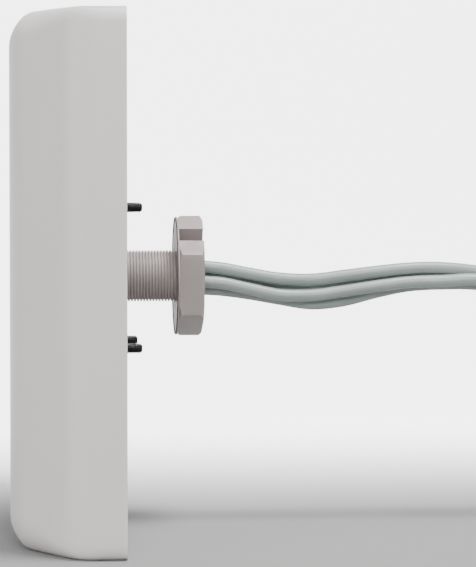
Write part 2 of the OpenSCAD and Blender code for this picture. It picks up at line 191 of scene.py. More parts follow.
def to_x(obj, x, y, z):
    """Lays an object turned about Z along +X, at a place."""
    obj.data.transform(Matrix.Translation((x, y, z)) @ Matrix.Rotation(math.pi / 2, 4, "Y"))
    return obj


def to_minus_y(obj, place):
    """Lays an object turned about Z along -Y, at a place."""
    obj.data.transform(Matrix.Translation(place) @ Matrix.Rotation(math.pi / 2, 4, "X"))
    return obj


def hexagon(a, flat):
    """Radius at angle a of a hexagon whose flats are at the distance flat."""
    return flat / math.cos((a + math.pi / 6) % (math.pi / 3) - math.pi / 6)


def ease(t):
    """Smooth step from 0 to 1."""
    t = min(max(t, 0), 1)
    return t * t * (3 - 2 * t)


# ---------- leads ----------

LEAD_D = 6.1 * MM
# The coil's middle, inner column, spacing and lowest layer, in millimetres.
COIL_ALONG, COIL_Y = 221, 32
COIL_INNER, COIL_PITCH, COIL_LOW, COIL_LAYERS = 30.5, 6.5, 4.3, 6
# Degrees from one point of the coil to the next, and where the coil starts and ends.
TURN_STEP = 18
FIRST_ANGLE, LAST_ANGLE = -90, 900
# Each turn comes down on to the one below it over this stretch, in degrees.
STEP_START, STEP_SPAN = -135, 120

# Free run from the stem mouth: distance behind the mouth, across, and height, in millimetres, as in the CAD model.
LEAD_ROUTES = (
    (
        (0, -4.4, 126.2), (10, -4.4, 125.2), (24, -4.4, 122.5), (38, -4.4, 120.2), (54, -4.4, 119.6),
        (70, -4.4, 121.5), (86, -4.4, 123.4), (102, -4.4, 125), (118, -4, 125.2), (136, -3.5, 123.5),
        (156, -4.5, 120), (171.5, -5, 110), (182, -5, 97), (188, -5, 81.5), (193.5, -5, 67.5),
        (205, -5, 54), (221, -5, 45.7),
    ),
    (
        (0, -5.6, 118.8), (10, -5.6, 118), (24, -5.6, 115), (38, -5.6, 112.2), (54, -5.6, 112),
        (70, -5.6, 114), (86, -5.6, 116.4), (102, -5.6, 118.3), (118, -6.8, 118.8), (136, -8.5, 119.4),
        (153.5, -6.5, 114.5), (167.5, -5, 105.5), (176.5, -5, 94), (182, -5, 80), (188, -5, 64.5),
        (201, -5, 49), (221, -5, 39.2),
    ),
    (
        (0, 0.2, 115.1), (10, 0.5, 114.4), (24, 0.8, 112.5), (38, 0.8, 110), (54, 0.8, 107.6),
        (70, 0.8, 109), (86, 0.8, 113), (102, 0.8, 116.2), (118, 0.2, 117.2), (136, -1.4, 117),
        (153.5, 0.5, 113.5), (167.5, 1.5, 105), (176.5, 1.5, 94), (182, 1.5, 80), (188, 1.5, 64.5),
        (201, 1.5, 49), (221, 1.5, 39.2),
    ),
    (
        (0, 2, 124.2), (10, 2, 123.2), (24, 2, 120.3), (38, 2.2, 117.8), (54, 2.4, 117.4),
        (70, 2.4, 118.6), (86, 2.4, 121.2), (102, 2.4, 123.4), (118, 2.8, 124.3), (136, 3, 123),
        (156, 2, 120), (171.5, 1.5, 110), (182, 1.5, 97), (188, 1.5, 81.5), (193.5, 1.5, 67.5),
        (205, 1.5, 54), (221, 1.5, 45.7),
    ),
)
# Run from the coil to the plug.
TAIL_ROUTES = (
    ((184, 32, 10.8), (184, 20, 10.8), (182.5, 6, 9.6), (180, -10, 8), (179, -25, 7.6), (179, -40, 7.6)),
    ((184, 32, 4.3), (183, 20, 4.3), (177, 6, 4.3), (167, -10, 5.3), (162, -26, 7.6), (162, -40, 7.6)),
    (
        (190.5, 32, 4.3), (190.5, 12, 4.3), (191, -8, 4.3), (198, -26, 4.5), (208, -42, 5.6),
        (213, -60, 7.6), (213, -76, 7.6),
    ),
    (
        (190.5, 32, 10.8), (190.5, 12, 10.8), (190.5, -8, 10.8), (191.5, -26, 9.6), (194, -42, 8),
        (196, -58, 7.6), (196, -76, 7.6),
    ),
)
# How far each lead reaches into its crimp sleeve, in millimetres.
LEAD_IN_SLEEVE = 8


def placed(p):
    """A route's point in the row frame, in metres."""
    return Vector((MOUTH_X + p[0] * MM, p[1] * MM, p[2] * MM))


def coil_point(k, angle):
    """Point of lead k in the coil, in a route's millimetres. Two leads make each column, one above the other."""
    outer, upper = k < 2, k in (0, 3)
    r = COIL_INNER + (COIL_PITCH if outer else 0)
    top = COIL_LOW + (COIL_LAYERS + (1 if upper else 0)) * COIL_PITCH
    steps = sum(ease((angle - STEP_START - 360 * i) / STEP_SPAN) for i in range(3))
    a = math.radians(angle)
    return (COIL_ALONG + r * math.cos(a), COIL_Y + r * math.sin(a), top - 2 * COIL_PITCH * steps)


def smooth_curve(name, points, diameter):
    """One open Bezier spline through the points, with a round section."""
    data = bpy.data.curves.new(name, "CURVE")
    data.dimensions = "3D"
    data.bevel_depth = diameter / 2
    data.bevel_resolution = 5
    data.resolution_u = 6
    data.use_fill_caps = True
    spline = data.splines.new("BEZIER")
    last = len(points) - 1
    spline.bezier_points.add(last)
    for i, (b, p) in enumerate(zip(spline.bezier_points, points)):
        before, after = points[max(i - 1, 0)], points[min(i + 1, last)]
        along = (after - before).normalized()
        b.co = p
        b.handle_left_type = b.handle_right_type = "FREE"
        b.handle_left = p - along * (p - before).length / 3
        b.handle_right = p + along * (after - p).length / 3
    return new_object(name, data)


def lead_points(k):
    coil = [coil_point(k, angle) for angle in range(FIRST_ANGLE + TURN_STEP, LAST_ANGLE, TURN_STEP)]
    return [placed(p) for p in (*LEAD_ROUTES[k], *coil, *TAIL_ROUTES[k])]


def plug_place(k):
    """Where the lead goes into its plug."""
    return placed(TAIL_ROUTES[k][-1]) + Vector((0, LEAD_IN_SLEEVE * MM, 0))


leads = [smooth_curve(f"lead_jacket_{k + 1}", lead_points(k), LEAD_D) for k in range(4)]


# ---------- materials ----------

def new_material(name):
    mat = bpy.data.materials.new(name)
    mat.use_nodes = True
    nodes, links = mat.node_tree.nodes, mat.node_tree.links
    return mat, nodes, links, nodes["Principled BSDF"]


def noise(nodes, links, coords, scale, detail=4, stretch=(1, 1, 1)):
    """A noise texture over the object, with its pattern stretched along the axes."""
    mapping = nodes.new("ShaderNodeMapping")
    mapping.inputs["Scale"].default_value = stretch
    links.new(coords.outputs["Object"], mapping.inputs["Vector"])
    tex = nodes.new("ShaderNodeTexNoise")
    tex.inputs["Scale"].default_value = scale
    tex.inputs["Detail"].default_value = detail
    links.new(mapping.outputs["Vector"], tex.inputs["Vector"])
    return tex


def ramp(nodes, links, value, stops):
    """A colour ramp with (position, colour) stops."""
    node = nodes.new("ShaderNodeValToRGB")
    while len(node.color_ramp.elements) < len(stops):
        node.color_ramp.elements.new(0.5)
    for e, (pos, colour) in zip(node.color_ramp.elements, stops):
        e.position = pos
        e.color = (*colour, 1)
    links.new(value, node.inputs["Fac"])
    return node


def grey(v):
    return (v, v, v)


def shade(colour, k):
    return tuple(min(c * k, 1) for c in colour)


def finish_material(name, colour, rough, grain, grain_bump, mottle, vary, wear,
                    metal=0.0, stretch=(1, 1, 1), rough_vary=0.08):
    """A surface with slow colour variation, fine grain in bump and roughness, and lighter worn edges."""
    mat, nodes, links, bsdf = new_material(name)
    coords = nodes.new("ShaderNodeTexCoord")
    slow = noise(nodes, links, coords, mottle, 3)
    fine = noise(nodes, links, coords, grain, 5, stretch)
    tones = [(0.3, shade(colour, 1 - vary)), (0.7, shade(colour, 1 + vary))]
    base = ramp(nodes, links, slow.outputs["Fac"], tones)
    geometry = nodes.new("ShaderNodeNewGeometry")
    edge = ramp(nodes, links, geometry.outputs["Pointiness"], [(0.52, grey(0)), (0.6, grey(wear))])
    worn = nodes.new("ShaderNodeMix")
    worn.data_type = "RGBA"
    links.new(edge.outputs["Color"], worn.inputs["Factor"])
    links.new(base.outputs["Color"], worn.inputs["A"])
    worn.inputs["B"].default_value = (*shade(colour, 1.5), 1)
    links.new(worn.outputs["Result"], bsdf.inputs["Base Color"])
    gloss = [(0.3, grey(rough - rough_vary)), (0.7, grey(rough + rough_vary))]
    dull = ramp(nodes, links, fine.outputs["Fac"], gloss)
    links.new(dull.outputs["Color"], bsdf.inputs["Roughness"])
    bump = nodes.new("ShaderNodeBump")
    bump.inputs["Strength"].default_value = 0.6
    bump.inputs["Distance"].default_value = grain_bump * MM
    links.new(fine.outputs["Fac"], bump.inputs["Height"])
    links.new(bump.outputs["Normal"], bsdf.inputs["Normal"])
    bsdf.inputs["Metallic"].default_value = metal
    return mat


def woven_material(name, colour, thread=0.6 * MM):
    """A plain weave of round threads, for the coil's straps."""
    mat, nodes, links, bsdf = new_material(name)
    coords = nodes.new("ShaderNodeTexCoord")
    waves = []
    for direction in ("X", "Z"):
        wave = nodes.new("ShaderNodeTexWave")
        wave.bands_direction = direction
        wave.inputs["Scale"].default_value = 0.314 / thread
        wave.inputs["Distortion"].default_value = 0.4
        links.new(coords.outputs["Object"], wave.inputs["Vector"])
        waves.append(wave)
    both = nodes.new("ShaderNodeMath")
    both.operation = "MULTIPLY"
    links.new(waves[0].outputs["Fac"], both.inputs[0])
    links.new(waves[1].outputs["Fac"], both.inputs[1])
    tone = ramp(nodes, links, both.outputs[0], [(0.0, shade(colour, 0.5)), (1.0, shade(colour, 1.8))])
    links.new(tone.outputs["Color"], bsdf.inputs["Base Color"])
    dull = ramp(nodes, links, both.outputs[0], [(0.0, grey(0.95)), (1.0, grey(0.7))])
    links.new(dull.outputs["Color"], bsdf.inputs["Roughness"])
    bump = nodes.new("ShaderNodeBump")
    bump.inputs["Distance"].default_value = 0.15 * MM
    links.new(both.outputs[0], bump.inputs["Height"])
    links.new(bump.outputs["Normal"], bsdf.inputs["Normal"])
    bsdf.inputs["Sheen Weight"].default_value = 0.3
    return mat


RADOME_GREY = (0.60, 0.575, 0.565)
FITTING_GREY = (0.30, 0.262, 0.255)
JACKET_GREY = (0.285, 0.33, 0.315)

# Each finish: colour, roughness, grain scale, grain height in millimetres, mottle scale, how much the colour
# varies, and how much the edges are worn.
FINISHES = {
    "radome_plastic": (RADOME_GREY, 0.48, 1400, 0.02, 9, 0.02, 0.1),
    "back_plastic": (shade(RADOME_GREY, 0.94), 0.55, 1600, 0.035, 14, 0.03, 0.2),
    "fitting_plastic": (FITTING_GREY, 0.5, 1800, 0.03, 60, 0.05, 0.3),
    "lead_jacket": (JACKET_GREY, 0.38, 1100, 0.02, 55, 0.05, 0.0),
    "rubber_seal": ((0.018, 0.018, 0.019), 0.6, 1500, 0.03, 80, 0.2, 0.2),
    "black_steel": ((0.014, 0.014, 0.016), 0.3, 2500, 0.01, 150, 0.25, 0.6),
    "steel": ((0.6, 0.6, 0.6), 0.32, 2500, 0.01, 120, 0.08, 0.3),
    "aluminium": ((0.75, 0.76, 0.78), 0.4, 900, 0.01, 40, 0.04, 0.2),
    "copper": ((0.83, 0.55, 0.25), 0.25, 2500, 0.006, 200, 0.08, 0.3),
    "nickel": ((0.66, 0.63, 0.58), 0.24, 2600, 0.008, 150, 0.06, 0.3),
    "board": ((0.02, 0.12, 0.05), 0.4, 1200, 0.02, 90, 0.2, 0.3),
    "white_plastic": ((0.85, 0.85, 0.82), 0.4, 1500, 0.02, 90, 0.03, 0.1),
}
METALS = {
    "black_steel": {"metal": 0.6, "rough_vary": 0.1},
    "steel": {"metal": 1.0},
    "aluminium": {"metal": 1.0, "stretch": (1, 1, 12)},
    "copper": {"metal": 1.0},
    "nickel": {"metal": 1.0},
}
MATERIALS = {name: finish_material(name, *finish, **METALS.get(name, {})) for name, finish in FINISHES.items()}
MATERIALS["tie_fabric"] = woven_material("tie_fabric", (0.03, 0.03, 0.032))


def dress(obj, slot):
    obj.data.materials.clear()
    obj.data.materials.append(MATERIALS[slot])
    return obj


def piece(obj, body, slot, *nodes):
    """Gives a piece its material, body and the CAD nodes that it stands for."""
    dress(obj, slot)
    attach(obj, body)
    if nodes:
        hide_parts(*nodes)
    return obj


for entry in frame["record"]["subparts"]:
    node = frame["nodes"][entry["node"]]
    node.data.materials.clear()
    node.data.materials.append(MATERIALS[entry["material_slot"]])


# ---------- radome ----------

WALL = 3 * MM
BEVEL = 31 * MM
FRONT_ROUND, CORNER_ROUND, CREASE_ROUND = 16 * MM, 6 * MM, 7 * MM
RADOME_STEP = 2.2 * MM


def round_join(a, b, r):
    """Distance to where two half-spaces meet, with a rounding of radius r along the meeting edge."""
    return np.minimum(-r, np.maximum(a, b)) + np.hypot(np.maximum(a + r, 0), np.maximum(b + r, 0))


def radome_distance(p):
    """Distance of points from the radome's outer surface, below 0 inside."""
    x, y, z = p[:, 0], np.abs(p[:, 1]), np.abs(p[:, 2] - AXIS_Z)
    side = y - HALF
    slope = (y - HALF + (FRONT_X + BEVEL - x)) / math.sqrt(2)
    front = FRONT_X - x
    section = round_join(round_join(side, slope, CREASE_ROUND), front, CREASE_ROUND)
    t = np.clip((FRONT_X + BEVEL - x) / BEVEL, 0, 1)
    r = CORNER_ROUND + (FRONT_ROUND - CORNER_ROUND) * t * t * (3 - 2 * t)
    return round_join(section, z - HALF, r)


# How far the inner core that the skin is drawn in towards lies from the front, sides and top.
CORE_IN = Vector((35, 42, 22)) * MM


def radome_skin():
    """Fine grid over the front, sides, top and bottom of a box, drawn in to the rounded, bevelled form."""
    x0, x1, z0, z1 = FRONT_X, BACK_X, AXIS_Z - HALF, AXIS_Z + HALF
    xs = np.linspace(x0, x1, round((x1 - x0) / RADOME_STEP) + 1)
    ys = np.linspace(-HALF, HALF, round(2 * HALF / RADOME_STEP) + 1)
    zs = np.linspace(z0, z1, round(2 * HALF / RADOME_STEP) + 1)
    verts, faces = [], []
    walls = [(xs[:1], ys, zs), (xs, ys[:1], zs), (xs, ys[-1:], zs), (xs, ys, zs[:1]), (xs, ys, zs[-1:])]
    for wall in walls:
        grid = np.stack(np.meshgrid(*wall, indexing="ij"), axis=-1).reshape(-1, 3)
        rows, cols = [len(side) for side in wall if len(side) > 1]
        faces += [tuple(i + len(verts) for i in f) for f in grid_faces(rows, cols, wrap=False)]
        verts += grid.tolist()
    points = np.array(verts)
    low = np.array([x0 + CORE_IN.x, CORE_IN.y - HALF, z0 + CORE_IN.z])
    high = np.array([x1, HALF - CORE_IN.y, z1 - CORE_IN.z])
    core = np.clip(points, low, high)
    near, far = np.zeros(len(points)), np.full(len(points), 1.01)
    for _ in range(30):
        middle = (near + far) / 2
        inside = radome_distance(core + (points - core) * middle[:, None]) < 0
        near, far = np.where(inside, middle, near), np.where(inside, far, middle)
    return tidy_mesh(add_mesh("radome_shell", core + (points - core) * near[:, None], faces), 1e-5)


def make_radome():
    obj = radome_skin()
    outward = sum((f.center - Vector((0, 0, AXIS_Z))).dot(f.normal) for f in obj.data.polygons)
    if outward < 0:
        obj.data.flip_normals()
    thicken = obj.modifiers.new("thicken", "SOLIDIFY")
    thicken.thickness = WALL
    thicken.offset = -1
    apply_modifier(obj, thicken)
    sharpen(obj, SHARP_EDGE)
    return piece(obj, "panel", "radome_plastic", "radome")


make_radome()


# ---------- threads ----------

# A thread's crest is flat to this share of half a turn, and its flank takes the next share.
CREST_SHARE, FLANK_SHARE = 0.48, 0.36
TIP_SLOPE = 0.9


def thread_phase(turns):
    """From 0 in the middle of a crest of the stem, or a groove of the nut, to 1 halfway to the next."""
    return abs(turns % 1 - 0.5) * 2


def ring_faces(low, high):
    """Faces between two rings of the same number of points."""
    n = len(low)
    return [(low[j], low[(j + 1) % n], high[(j + 1) % n], high[j]) for j in range(n)]


def threaded_rod(name, x0, x1, r, pitch, depth, bore=0.0, tip=0.0, sides=72, per_turn=12):
    """Bar or tube along +X with a right-hand thread. tip is the length of the chamfer at its far end."""
    rows = int((x1 - x0) / pitch * per_turn) + per_turn + 2
    verts = []
    for i in range(rows):
        for j in range(sides):
            a = 2 * math.pi * j / sides
            x = x0 - pitch + pitch * (i / per_turn + j / sides)
            phase = thread_phase(i / per_turn)
            q = r - depth * min(1, max(0, (phase - CREST_SHARE) / FLANK_SHARE))
            x = min(max(x, x0), x1)
            if tip and x > x1 - tip:
                q = min(q, r - (x - (x1 - tip)) * TIP_SLOPE)
            verts.append((x, q * math.cos(a), q * math.sin(a)))
    faces = grid_faces(rows, sides)
    first, last = list(range(sides)), list(range((rows - 1) * sides, rows * sides))
    if bore:
        base = len(verts)
        for x in (x1, x0):
            for j in range(sides):
                a = 2 * math.pi * j / sides
                verts.append((x, bore * math.cos(a), bore * math.sin(a)))
        out, back = list(range(base, base + sides)), list(range(base + sides, base + 2 * sides))
        for low, high in ((last, out), (out, back), (back, first)):
            faces += ring_faces(low, high)
    else:
        faces += [first[::-1], last]
    return tidy_mesh(add_mesh(name, verts, faces), 2e-6)


STEM_R, STEM_BORE, STEM_PITCH, STEM_DEPTH = 12.5 * MM, 10.2 * MM, 1.5 * MM, 0.92 * MM
STEM_TIP = 0.7 * MM
FLANGE_R, FLANGE_EDGE = 27 * MM, 0.4 * MM


def make_stem():
    thread = threaded_rod("stem_thread", PLATE[0].x, MOUTH_X, STEM_R, STEM_PITCH, STEM_DEPTH, STEM_BORE, STEM_TIP,
                          sides=96)
    thread.data.transform(Matrix.Translation((0, 0, AXIS_Z)))
    t = PLATE[0].x - STEM[0].x
    edge = FLANGE_EDGE
    flange = turned("stem_flange", [
        (STEM_BORE, 0), (FLANGE_R - edge, 0), (FLANGE_R, edge), (FLANGE_R, t - edge), (FLANGE_R - edge, t),
        (STEM_BORE, t)
    ])
    to_x(flange, STEM[0].x, 0, AXIS_Z)
    obj = sharpen(join("threaded_stem", [thread, flange]), SHARP_EDGE)
    return piece(obj, "panel", "fitting_plastic", "stem")


STUD_R, STUD_PITCH, STUD_DEPTH, STUD_TIP = 2.4 * MM, 0.8 * MM, 0.42 * MM, 1.1 * MM
STUD_HEAD_R, STUD_HEAD_T, STUD_HEAD_EDGE = 5 * MM, 2 * MM, 0.4 * MM
# How far the thread runs on into the head.
STUD_IN_HEAD = 1 * MM
STUD_STEP = 33.5 * MM


def make_studs():
    profile = [(0, 0), (STUD_HEAD_R - STUD_HEAD_EDGE, 0), (STUD_HEAD_R, STUD_HEAD_EDGE), (STUD_HEAD_R, STUD_HEAD_T),
               (0, STUD_HEAD_T)]
    parts = []
    for y in (-STUD_STEP, STUD_STEP):
        for z in (AXIS_Z - STUD_STEP, AXIS_Z + STUD_STEP):
            rod = threaded_rod("stud", PLATE[0].x - STUD_IN_HEAD, STUDS[1].x, STUD_R, STUD_PITCH, STUD_DEPTH, 0,
                               STUD_TIP, sides=40)
            rod.data.transform(Matrix.Translation((0, y, z)))
            parts += [rod, to_x(turned("head", profile, 48), STUDS[0].x, y, z)]
    obj = sharpen(join("threaded_studs", parts), SHARP_EDGE)
    return piece(obj, "panel", "black_steel", "mounting_studs")


make_stem()
make_studs()


# ---------- cover screws ----------

SCREW_SHANK_R, SCREW_HEAD_R, SCREW_HEAD_T = 1.5 * MM, 2.9 * MM, 1.9 * MM
RECESS_DEPTH, RECESS_ARM, RECESS_HALF_W, RECESS_TAPER = 1.1 * MM, 1.75 * MM, 0.38 * MM, 0.7
# How far the cutter reaches past the screw's head.
CUT_PAST = 0.3 * MM
# Degrees from one screw's recess to the next one's, so that they don't all line up.
SCREW_TURN = 37


def cross_cutter(z0, z1):
    """Plus-shaped, tapered plug that cuts the driver recess."""
    w, arm, taper = RECESS_HALF_W, RECESS_ARM, RECESS_TAPER
    outline = [(w, w), (w, arm), (-w, arm), (-w, w), (-arm, w), (-arm, -w), (-w, -w), (-w, -arm), (w, -arm),
               (w, -w), (arm, -w), (arm, w)]
    n = len(outline)
    verts = [(u * taper, v * taper, z0) for u, v in outline] + [(u, v, z1) for u, v in outline]
    faces = ring_faces(range(n), range(n, 2 * n))
    faces += [tuple(range(n))[::-1], tuple(range(n, 2 * n))]
    return tidy_mesh(add_mesh("cutter", verts, faces, rounded=False))


def make_cover_screws():
    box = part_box("cover_screws")
    step = box[1].y - SCREW_HEAD_R
    top = box[1].x - box[0].x
    head = top - SCREW_HEAD_T
    profile = [(0, 0), (0.9 * MM, 0), (SCREW_SHANK_R, 0.8 * MM), (SCREW_SHANK_R, head), (SCREW_HEAD_R, head),
               (SCREW_HEAD_R, top - 0.6 * MM), (SCREW_HEAD_R - 0.25 * MM, top - 0.2 * MM),
               (SCREW_HEAD_R - 0.9 * MM, top), (0, top)]
    parts = []
    for i, (y, z) in enumerate((y, z) for y in (-1, 0, 1) for z in (-1, 0, 1) if y or z):
        screw = turned("screw", profile, 48)
        cutter = cross_cutter(top - RECESS_DEPTH, top + CUT_PAST)
        cut = screw.modifiers.new("cut", "BOOLEAN")
        cut.operation, cut.object, cut.solver = "DIFFERENCE", cutter, "EXACT"
        apply_modifier(screw, cut)
        bpy.data.objects.remove(cutter)
        screw.data.transform(Matrix.Rotation(math.radians(SCREW_TURN * i), 4, "Z"))
        parts.append(to_x(screw, box[0].x, y * step, AXIS_Z + z * step))
    return piece(sharpen(join("cross_recess_screws", parts), 40), "panel", "steel", "cover_screws")


make_cover_screws()


# ---------- nut and washer ----------

NUT_FLATS, NUT_SLOT, NUT_BORE = 52 * MM, 9 * MM, 12.55 * MM
NUT_CORNER_ANGLE = 158.5
NUT_SLOT_ANGLE = NUT_CORNER_ANGLE - 30
NUT_CORNER_ROUND = 0.25 * MM
CHAMFER, CHAMFER_T = 2.2 * MM, 1.3 * MM
FACE_EDGE, FACE_DROP, FACE_INSET = 0.35 * MM, 0.02 * MM, 0.01 * MM
# Steps over each chamfer and over the flats between them.
CONE_STEPS, FLAT_STEPS = 4, 6
NUT_SIDES = 144
NUT_ROWS_PER_TURN = 8
NUT_GROOVE = 0.75 * MM
# The nut's groove is gone above the first share of half a turn, and deepens over the second.
GROOVE_END, GROOVE_SPAN = 0.88, 0.72

WASHER_BORE_R, WASHER_R, WASHER_EDGE = 12.8 * MM, 28.9 * MM, 0.15 * MM
# The thin black ring at the washer's rim is painted shadow: it stands where the nut's face lies in shade.
SHADOW_RING_IN_R, SHADOW_RING_OUT_R, SHADOW_RING_PROUD, SHADOW_RING_SUNK, SHADOW_RING_EDGE = 28.2 * MM, 28.8 * MM, 0.45 * MM, 0.05 * MM, 0.1 * MM
RING_SIDES = 128


def hexagon_radius(angle):
    """Radius of the nut's hexagon at an angle in degrees, with its corners rounded off a little."""
    off = abs((angle - NUT_CORNER_ANGLE) % 60 - 30)
    r = NUT_FLATS / 2 / math.cos(math.radians(off))
    corner = NUT_FLATS / 2 / math.cos(math.radians(30))
    return min(r, corner - NUT_CORNER_ROUND)


def nut_section(face_r):
    """The outside of the nut's section, from its inner face to its outer one, as (kind, value, level) rows."""
    face = [("out", face_r - FACE_EDGE * 2, 0), ("out", face_r, FACE_DROP)]
    cone = [i / CONE_STEPS for i in range(CONE_STEPS + 1)]
    rows = [*face, *(("cone", v, 0) for v in cone)]
    rows += [("flat", 0, i / FLAT_STEPS) for i in range(1, FLAT_STEPS)]
    return rows + [("cone", 1 - v, 1) for v in cone] + face[::-1]


def nut_spot(kind, value, face_r, share):
    """Angle in degrees and radius of a point, at its share of the way from one wall of the slot to the other."""
    r = NUT_FLATS / 2
    for _ in range(4):
        gap = math.degrees(math.asin(NUT_SLOT / 2 / r))
        angle = NUT_SLOT_ANGLE + gap + share * (360 - 2 * gap)
        hex_r = hexagon_radius(angle)
        if kind == "bore":
            r = value
        elif kind == "out":
            r = min(value, hex_r - FACE_INSET)
        elif kind == "cone" and hex_r > face_r:
            r = min(face_r + (hex_r - face_r) * value, hex_r)
        else:
            r = hex_r
    return angle, r


def make_nut():
    """C-shaped hexagon nut: rows go round its section, and columns from one wall of the slot to the other."""
    t = NUT[1].x - NUT[0].x
    face_r = NUT_FLATS / math.sqrt(3) - CHAMFER
    section = nut_section(face_r)
    bore_rows = int(t / STEM_PITCH * NUT_ROWS_PER_TURN) + NUT_ROWS_PER_TURN
    columns = [i / NUT_SIDES for i in range(NUT_SIDES + 1)]
    verts = []

    def add_point(x, angle, r):
        a = math.radians(angle)
        verts.append((x, r * math.cos(a), AXIS_Z + r * math.sin(a)))

    for row, (kind, value, level) in enumerate(section):
        for share in columns:
            angle, r = nut_spot(kind, value, face_r, share)
            slope = max(0, r - face_r) * CHAMFER_T / CHAMFER
            if kind == "flat":
                x = NUT[0].x + slope + (t - 2 * slope) * level
            else:
                x = NUT[1].x - slope if row >= len(section) / 2 else NUT[0].x + slope
            add_point(x, angle, r)
    for i in range(bore_rows):
        turns = i / NUT_ROWS_PER_TURN
        groove = NUT_GROOVE * min(1, max(0, (GROOVE_END - thread_phase(turns)) / GROOVE_SPAN))
        for share in columns:
            angle, r = nut_spot("bore", NUT_BORE + groove, face_r, share)
            x = NUT[1].x - STEM_PITCH * turns + STEM_PITCH * (angle / 360 % 1)
            add_point(min(max(x, NUT[0].x), NUT[1].x), angle, r)
    rows, cols = len(section) + bore_rows, len(columns)
    faces = grid_faces(rows, cols, wrap=False)
    last = (rows - 1) * cols
    faces += [(last + j, last + j + 1, j + 1, j) for j in range(cols - 1)]
    faces.append([i * cols for i in range(rows)])
    faces.append([i * cols + cols - 1 for i in range(rows)][::-1])
    obj = sharpen(tidy_mesh(add_mesh("slotted_nut", verts, faces), 2e-6), 25)
    return piece(obj, "nut", "fitting_plastic", "jam_nut")


def washer_ring(name, profile):
    return sharpen(to_x(turned(name, profile, RING_SIDES), WASHER[0].x, 0, AXIS_Z), SHARP_EDGE)


def make_washer():
    t = WASHER[1].x - WASHER[0].x
    r0, r1, edge = WASHER_BORE_R, WASHER_R, WASHER_EDGE
    profile = [(r0, edge), (r0 + edge, 0), (r1 - edge, 0), (r1, edge), (r1, t - edge), (r1 - edge, t),
               (r0 + edge, t), (r0, t - edge)]
    return piece(washer_ring("thin_washer", profile), "washer", "fitting_plastic", "slip_washer")


def make_washer_shadow_ring():
    """Thin black ring on the washer's face, near its rim: painted shadow, a dark ring put where the nut's face lies
    in shade.
    """
    r0, r1, top, edge = SHADOW_RING_IN_R, SHADOW_RING_OUT_R, -SHADOW_RING_PROUD, SHADOW_RING_EDGE
    profile = [(r0, SHADOW_RING_SUNK), (r0, top + edge), (r0 + edge, top), (r1 - edge, top), (r1, top + edge),
               (r1, SHADOW_RING_SUNK)]
    return piece(washer_ring("washer_shadow_ring", profile), "washer", "rubber_seal")


make_nut()
make_washer()
# Black ring of painted shadow at the washer's rim.
make_washer_shadow_ring()


# ---------- plugs ----------

SLEEVE_L, SLEEVE_R, SLEEVE_BORE, SLEEVE_EDGE = 16 * MM, 3.95 * MM, 3.1 * MM, 0.3 * MM
SLEEVE_STEPS = 28
# The sleeve is pressed between these heights, easing in and out over one millimetre.
PRESS_START, PRESS_END, PRESS_FLAT = 3 * MM, 12 * MM, 3.45 * MM
# The plug's collar: its length, and its spanner flats, cut only where the radius is over the last number.
COLLAR_L, COLLAR_FLAT, COLLAR_MIN_R = 3.1 * MM, 4.9 * MM, 5 * MM
COUPLING_START = 19.4 * MM
KNURLS, KNURL_DEPTH, KNURL_FADE = 40, 0.35 * MM, 0.5 * MM
KNURL_START, KNURL_END, KNURL_MIN_R = 2.6 * MM, 10.6 * MM, 7 * MM

# Profiles of the plug's body and coupling nut: radius and height in millimetres.
PLUG_PROFILE = [
    (1.7, 9.2), (2.85, 9.2), (3.05, 9.4), (3.05, 16.0), (5.3, 16.02), (5.6, 16.3), (5.6, 18.7), (5.3, 19.0),
    (4.6, 19.02), (4.6, 21.7), (4.45, 22), (4.15, 22.02), (4.15, 32.6), (3.9, 33), (3.4, 33), (3.34, 32.8),
    (3.34, 19.3), (1.7, 19.3),
]
KNURL_ROWS = [2.4, 2.7, 3.0, 3.3, 5, 7, 9, 9.9, 10.2, 10.5, 10.8]
COUPLING_OUTSIDE = [
    (7.1, 0), (7.5, 0.4), (7.5, 1.5), (7.2, 1.8), (7.2, 2.1), *((7.45, z) for z in KNURL_ROWS),
    (7.2, 11.1), (7.2, 11.5), (7.5, 11.8), (7.5, 14.0), (7.1, 14.4), (6.0, 14.4),
]
COUPLING_REAR = [(5.6, 2), (4.7, 2), (4.65, 1.9), (4.65, 0.1), (4.75, 0)]
# The coupling nut's thread: crest and root radius, pitch, and where it starts and ends.
BORE_CREST, BORE_ROOT, BORE_PITCH, BORE_START, BORE_END = 5.6, 5.95, 0.9, 14.0, 3.6


def in_metres(profile):
    return [(r * MM, z * MM) for r, z in profile]


def make_sleeve(k):
    """Crimp sleeve, pressed to a hexagon over its middle."""
    def crimped(a, r, z):
        pressed = ease((z - PRESS_START) / MM) * ease((PRESS_END - z) / MM)
        on_outside = r > (SLEEVE_BORE + SLEEVE_R) / 2
        return r + (min(hexagon(a, PRESS_FLAT), r) - r) * pressed if on_outside else r
    edge = SLEEVE_EDGE
    outer = [(SLEEVE_R, edge + (SLEEVE_L - 2 * edge) * i / SLEEVE_STEPS) for i in range(SLEEVE_STEPS + 1)]
    profile = [(SLEEVE_BORE, 0), (SLEEVE_R - edge, 0), *outer, (SLEEVE_R - edge, SLEEVE_L), (SLEEVE_BORE, SLEEVE_L)]
    obj = to_minus_y(turned(f"crimped_sleeve_{k + 1}", profile, 72, crimped), plug_place(k))
    return piece(sharpen(obj, 40), "panel", "nickel", f"crimp_sleeve_{k + 1}")


def make_plug_body(k):
    def flats(a, r, z):
        """Spanner flats on the collar."""
        on_collar = SLEEVE_L < z < SLEEVE_L + COLLAR_L and r > COLLAR_MIN_R
        return min(r, hexagon(a, COLLAR_FLAT)) if on_collar else r
    obj = turned(f"threaded_plug_{k + 1}", in_metres(PLUG_PROFILE), 72, flats)
    return piece(sharpen(to_minus_y(obj, plug_place(k)), 35), "panel", "nickel", f"plug_body_{k + 1}")


